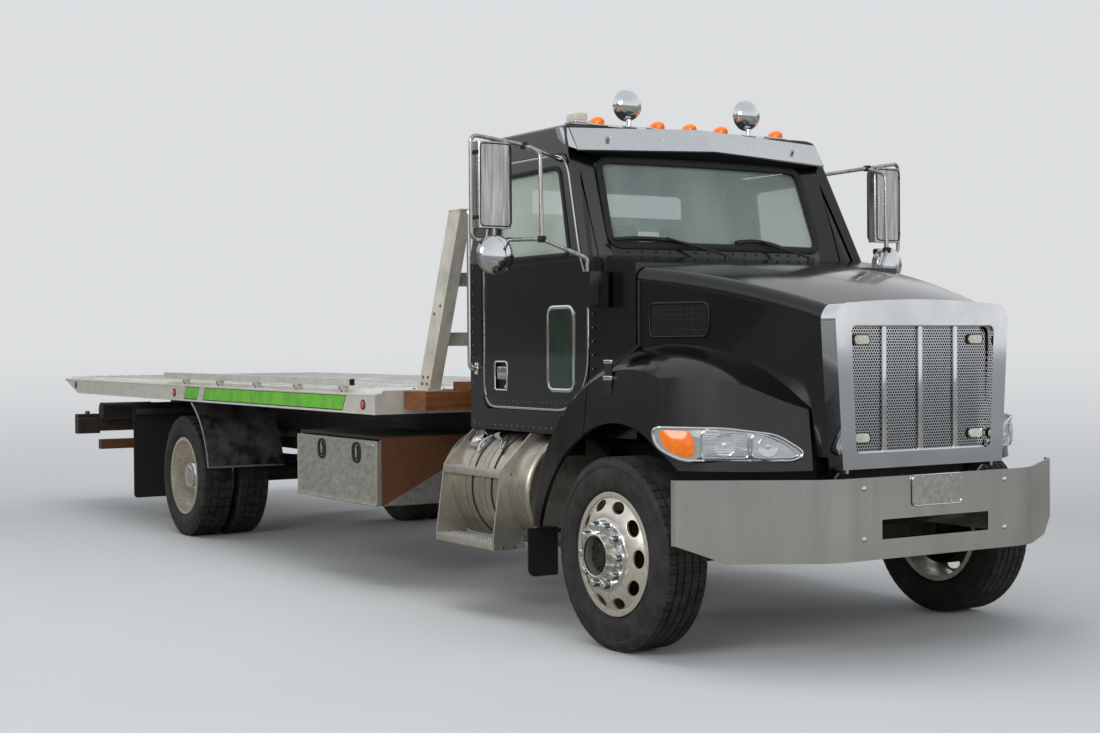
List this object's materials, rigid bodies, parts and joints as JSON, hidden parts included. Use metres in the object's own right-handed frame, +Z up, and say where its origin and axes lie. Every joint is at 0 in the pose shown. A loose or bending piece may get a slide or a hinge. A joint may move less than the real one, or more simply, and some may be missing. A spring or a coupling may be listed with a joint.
{
  "type": "tow truck",
  "caption": "Rollback tow truck with a conventional cab, a tilting and sliding flat bed, headboard, winch and stowed wheel lift.",
  "frame": {"origin": "middle of the truck's length and width, on the ground under its wheels", "axes": "+X forward, +Y to the truck's left, +Z up"},
  "size_m": [9.945, 2.962, 2.8278],
  "materials": {
    "frame_black": "satin black chassis paint, dusty",
    "cab_black": "gloss black paint",
    "chrome": "bright plated",
    "stainless": "bright stainless",
    "wheel_polished": "polished",
    "deck_aluminium": "weathered mill finish",
    "box_galvanised": "grey, scuffed",
    "glass": "clear, faintly green",
    "lamp_clear": "clear lens",
    "lamp_amber": "amber lens",
    "tyre": "matte, dusty",
    "rubber": "matte",
    "plastic_grey": "textured",
    "plastic_black": "textured",
    "seat_cloth": "woven grey",
    "cast_grey": "cast, oily",
    "timber": "rough sawn, weathered orange-brown",
    "steel_worn": "worn black paint with rust"
  },
  "bodies": {
    "chassis": {"frame_rails": "frame_black", "bumper": "chrome", "radiator": "cast_grey", "engine_block": "cast_grey", "axles": "frame_black", "drive_shaft": "frame_black", "leaf_springs": "frame_black", "cab_shell": "cab_black", "cab_glass": "glass", "sun_visor": "stainless", "roof_lamps": "lamp_amber", "dashboard": "plastic_grey", "seats": "seat_cloth", "grab_handles": "chrome", "fender_rears": "cab_black", "fuel_tanks": "wheel_polished", "tank_steps": "wheel_polished", "tool_boxes": "box_galvanised", "rear_fenders": "frame_black", "mud_flaps": "rubber", "exhaust": "steel_worn"},
    "hood": {"hood_shell": "cab_black", "grille_surround": "chrome", "grille_screen": "stainless", "headlamps": "lamp_clear"},
    "steering": {"steering_wheel": "plastic_black"},
    "tie_rod_body": {"tie_rod": "frame_black"},
    "tilt_frame_body": {"tilt_frame": "steel_worn"},
    "tilt_barrel_body": {"tilt_barrels": "steel_worn"},
    "tilt_rod_body": {"tilt_rods": "chrome"},
    "deck_body": {"deck": "deck_aluminium", "rub_rail": "deck_aluminium", "headboard": "deck_aluminium", "headboard_timbers": "timber", "winch_stand": "steel_worn"},
    "winch_drum_body": {"winch_drum": "steel_worn"},
    "lift_boom_body": {"lift_boom": "steel_worn"},
    "lift_bar_body": {"lift_bar": "steel_worn"},
    "door_right_body": {"door_right": "cab_black", "door_glass_right": "glass", "mirror_right": "chrome"},
    "knuckle_right_body": {"knuckle_right": "frame_black"},
    "front_wheel_right_body": {"front_tyre_right": "tyre", "front_wheel_right": "wheel_polished"},
    "rear_wheels_right_body": {"rear_tyres_right": "tyre", "rear_wheels_right": "wheel_polished"},
    "toolbox_door_right_body": {"toolbox_door_right": "box_galvanised"},
    "door_left_body": {"door_left": "cab_black", "door_glass_left": "glass", "mirror_left": "chrome"},
    "knuckle_left_body": {"knuckle_left": "frame_black"},
    "front_wheel_left_body": {"front_tyre_left": "tyre", "front_wheel_left": "wheel_polished"},
    "rear_wheels_left_body": {"rear_tyres_left": "tyre", "rear_wheels_left": "wheel_polished"},
    "toolbox_door_left_body": {"toolbox_door_left": "box_galvanised"}
  },
  "joints": [
    {"name": "hood_tilt", "type": "hinge", "parent": "chassis", "child": "hood", "pos_m": [4.9375, 0, 0.6], "axis": [0, 1, 0], "range_deg": [0, 75]},
    {"name": "door_right_hinge", "type": "hinge", "parent": "chassis", "child": "door_right_body", "pos_m": [3.5525, -1, 1.5], "axis": [0, 0, 1], "range_deg": [0, 70]},
    {"name": "door_left_hinge", "type": "hinge", "parent": "chassis", "child": "door_left_body", "pos_m": [3.5525, 1, 1.5], "axis": [0, 0, -1], "range_deg": [0, 70]},
    {"name": "steer_right", "type": "hinge", "parent": "chassis", "child": "knuckle_right_body", "pos_m": [4.0075, -0.92, 0.464], "axis": [0, 0, 1], "range_deg": [-30, 30]},
    {"name": "steer_left", "type": "hinge", "parent": "chassis", "child": "knuckle_left_body", "pos_m": [4.0075, 0.92, 0.464], "axis": [0, 0, 1], "range_deg": [-30, 30]},
    {"name": "tie_rod_slide", "type": "slide", "parent": "chassis", "child": "tie_rod_body", "axis": [0, 1, 0], "range_m": [-0.1, 0.1]},
    {"name": "steering_turn", "type": "hinge", "parent": "chassis", "child": "steering", "pos_m": [3.0475, 0.45, 1.8], "axis": [-0.5501, 0, 0.8351], "range_deg": [-540, 540]},
    {"name": "front_right_roll", "type": "hinge", "parent": "knuckle_right_body", "child": "front_wheel_right_body", "pos_m": [4.0075, -1.06, 0.464], "axis": [0, 1, 0], "continuous": true},
    {"name": "front_left_roll", "type": "hinge", "parent": "knuckle_left_body", "child": "front_wheel_left_body", "pos_m": [4.0075, 1.06, 0.464], "axis": [0, 1, 0], "continuous": true},
    {"name": "rear_right_roll", "type": "hinge", "parent": "chassis", "child": "rear_wheels_right_body", "pos_m": [-1.8825, -0.926, 0.464], "axis": [0, 1, 0], "continuous": true},
    {"name": "rear_left_roll", "type": "hinge", "parent": "chassis", "child": "rear_wheels_left_body", "pos_m": [-1.8825, 0.926, 0.464], "axis": [0, 1, 0], "continuous": true},
    {"name": "toolbox_right_hinge", "type": "hinge", "parent": "chassis", "child": "toolbox_door_right_body", "pos_m": [1.0075, -1.226, 0.505], "axis": [1, 0, 0], "range_deg": [0, 100]},
    {"name": "toolbox_left_hinge", "type": "hinge", "parent": "chassis", "child": "toolbox_door_left_body", "pos_m": [1.0075, 1.226, 0.505], "axis": [-1, 0, 0], "range_deg": [0, 100]},
    {"name": "bed_tilt", "type": "hinge", "parent": "chassis", "child": "tilt_frame_body", "pos_m": [-3.4425, 0, 0.985], "axis": [0, -1, 0], "range_deg": [0, 11]},
    {"name": "barrel_pivot", "type": "hinge", "parent": "chassis", "child": "tilt_barrel_body", "pos_m": [-1.2925, 0, 0.72], "axis": [0, -1, 0], "range_deg": [0, 28]},
    {"name": "rod_slide", "type": "slide", "parent": "tilt_barrel_body", "child": "tilt_rod_body", "axis": [0.9666, 0, 0.2562], "range_m": [0, 0.25]},
    {"name": "deck_slide", "type": "slide", "parent": "tilt_frame_body", "child": "deck_body", "axis": [-1, 0, 0], "range_m": [0, 3.2]},
    {"name": "winch_turn", "type": "hinge", "parent": "deck_body", "child": "winch_drum_body", "pos_m": [1.3575, 0, 1.36], "axis": [0, 1, 0], "continuous": true},
    {"name": "lift_tilt", "type": "hinge", "parent": "tilt_frame_body", "child": "lift_boom_body", "pos_m": [-3.6125, 0, 0.765], "axis": [0, 1, 0], "range_deg": [-12, 0]},
    {"name": "lift_extend", "type": "slide", "parent": "lift_boom_body", "child": "lift_bar_body", "axis": [-1, 0, 0], "range_m": [0, 0.75]}
  ],
  "couplings": [
    {"joint": "steer_left", "follows": "steer_right", "ratio": 1},
    {"joint": "tie_rod_slide", "follows": "steer_right", "m_per_rad": -0.19},
    {"joint": "steering_turn", "follows": "steer_right", "ratio": 18},
    {"joint": "barrel_pivot", "follows": "bed_tilt", "ratio": 2.523},
    {"joint": "rod_slide", "follows": "bed_tilt", "m_per_rad": 1.277}
  ]
}
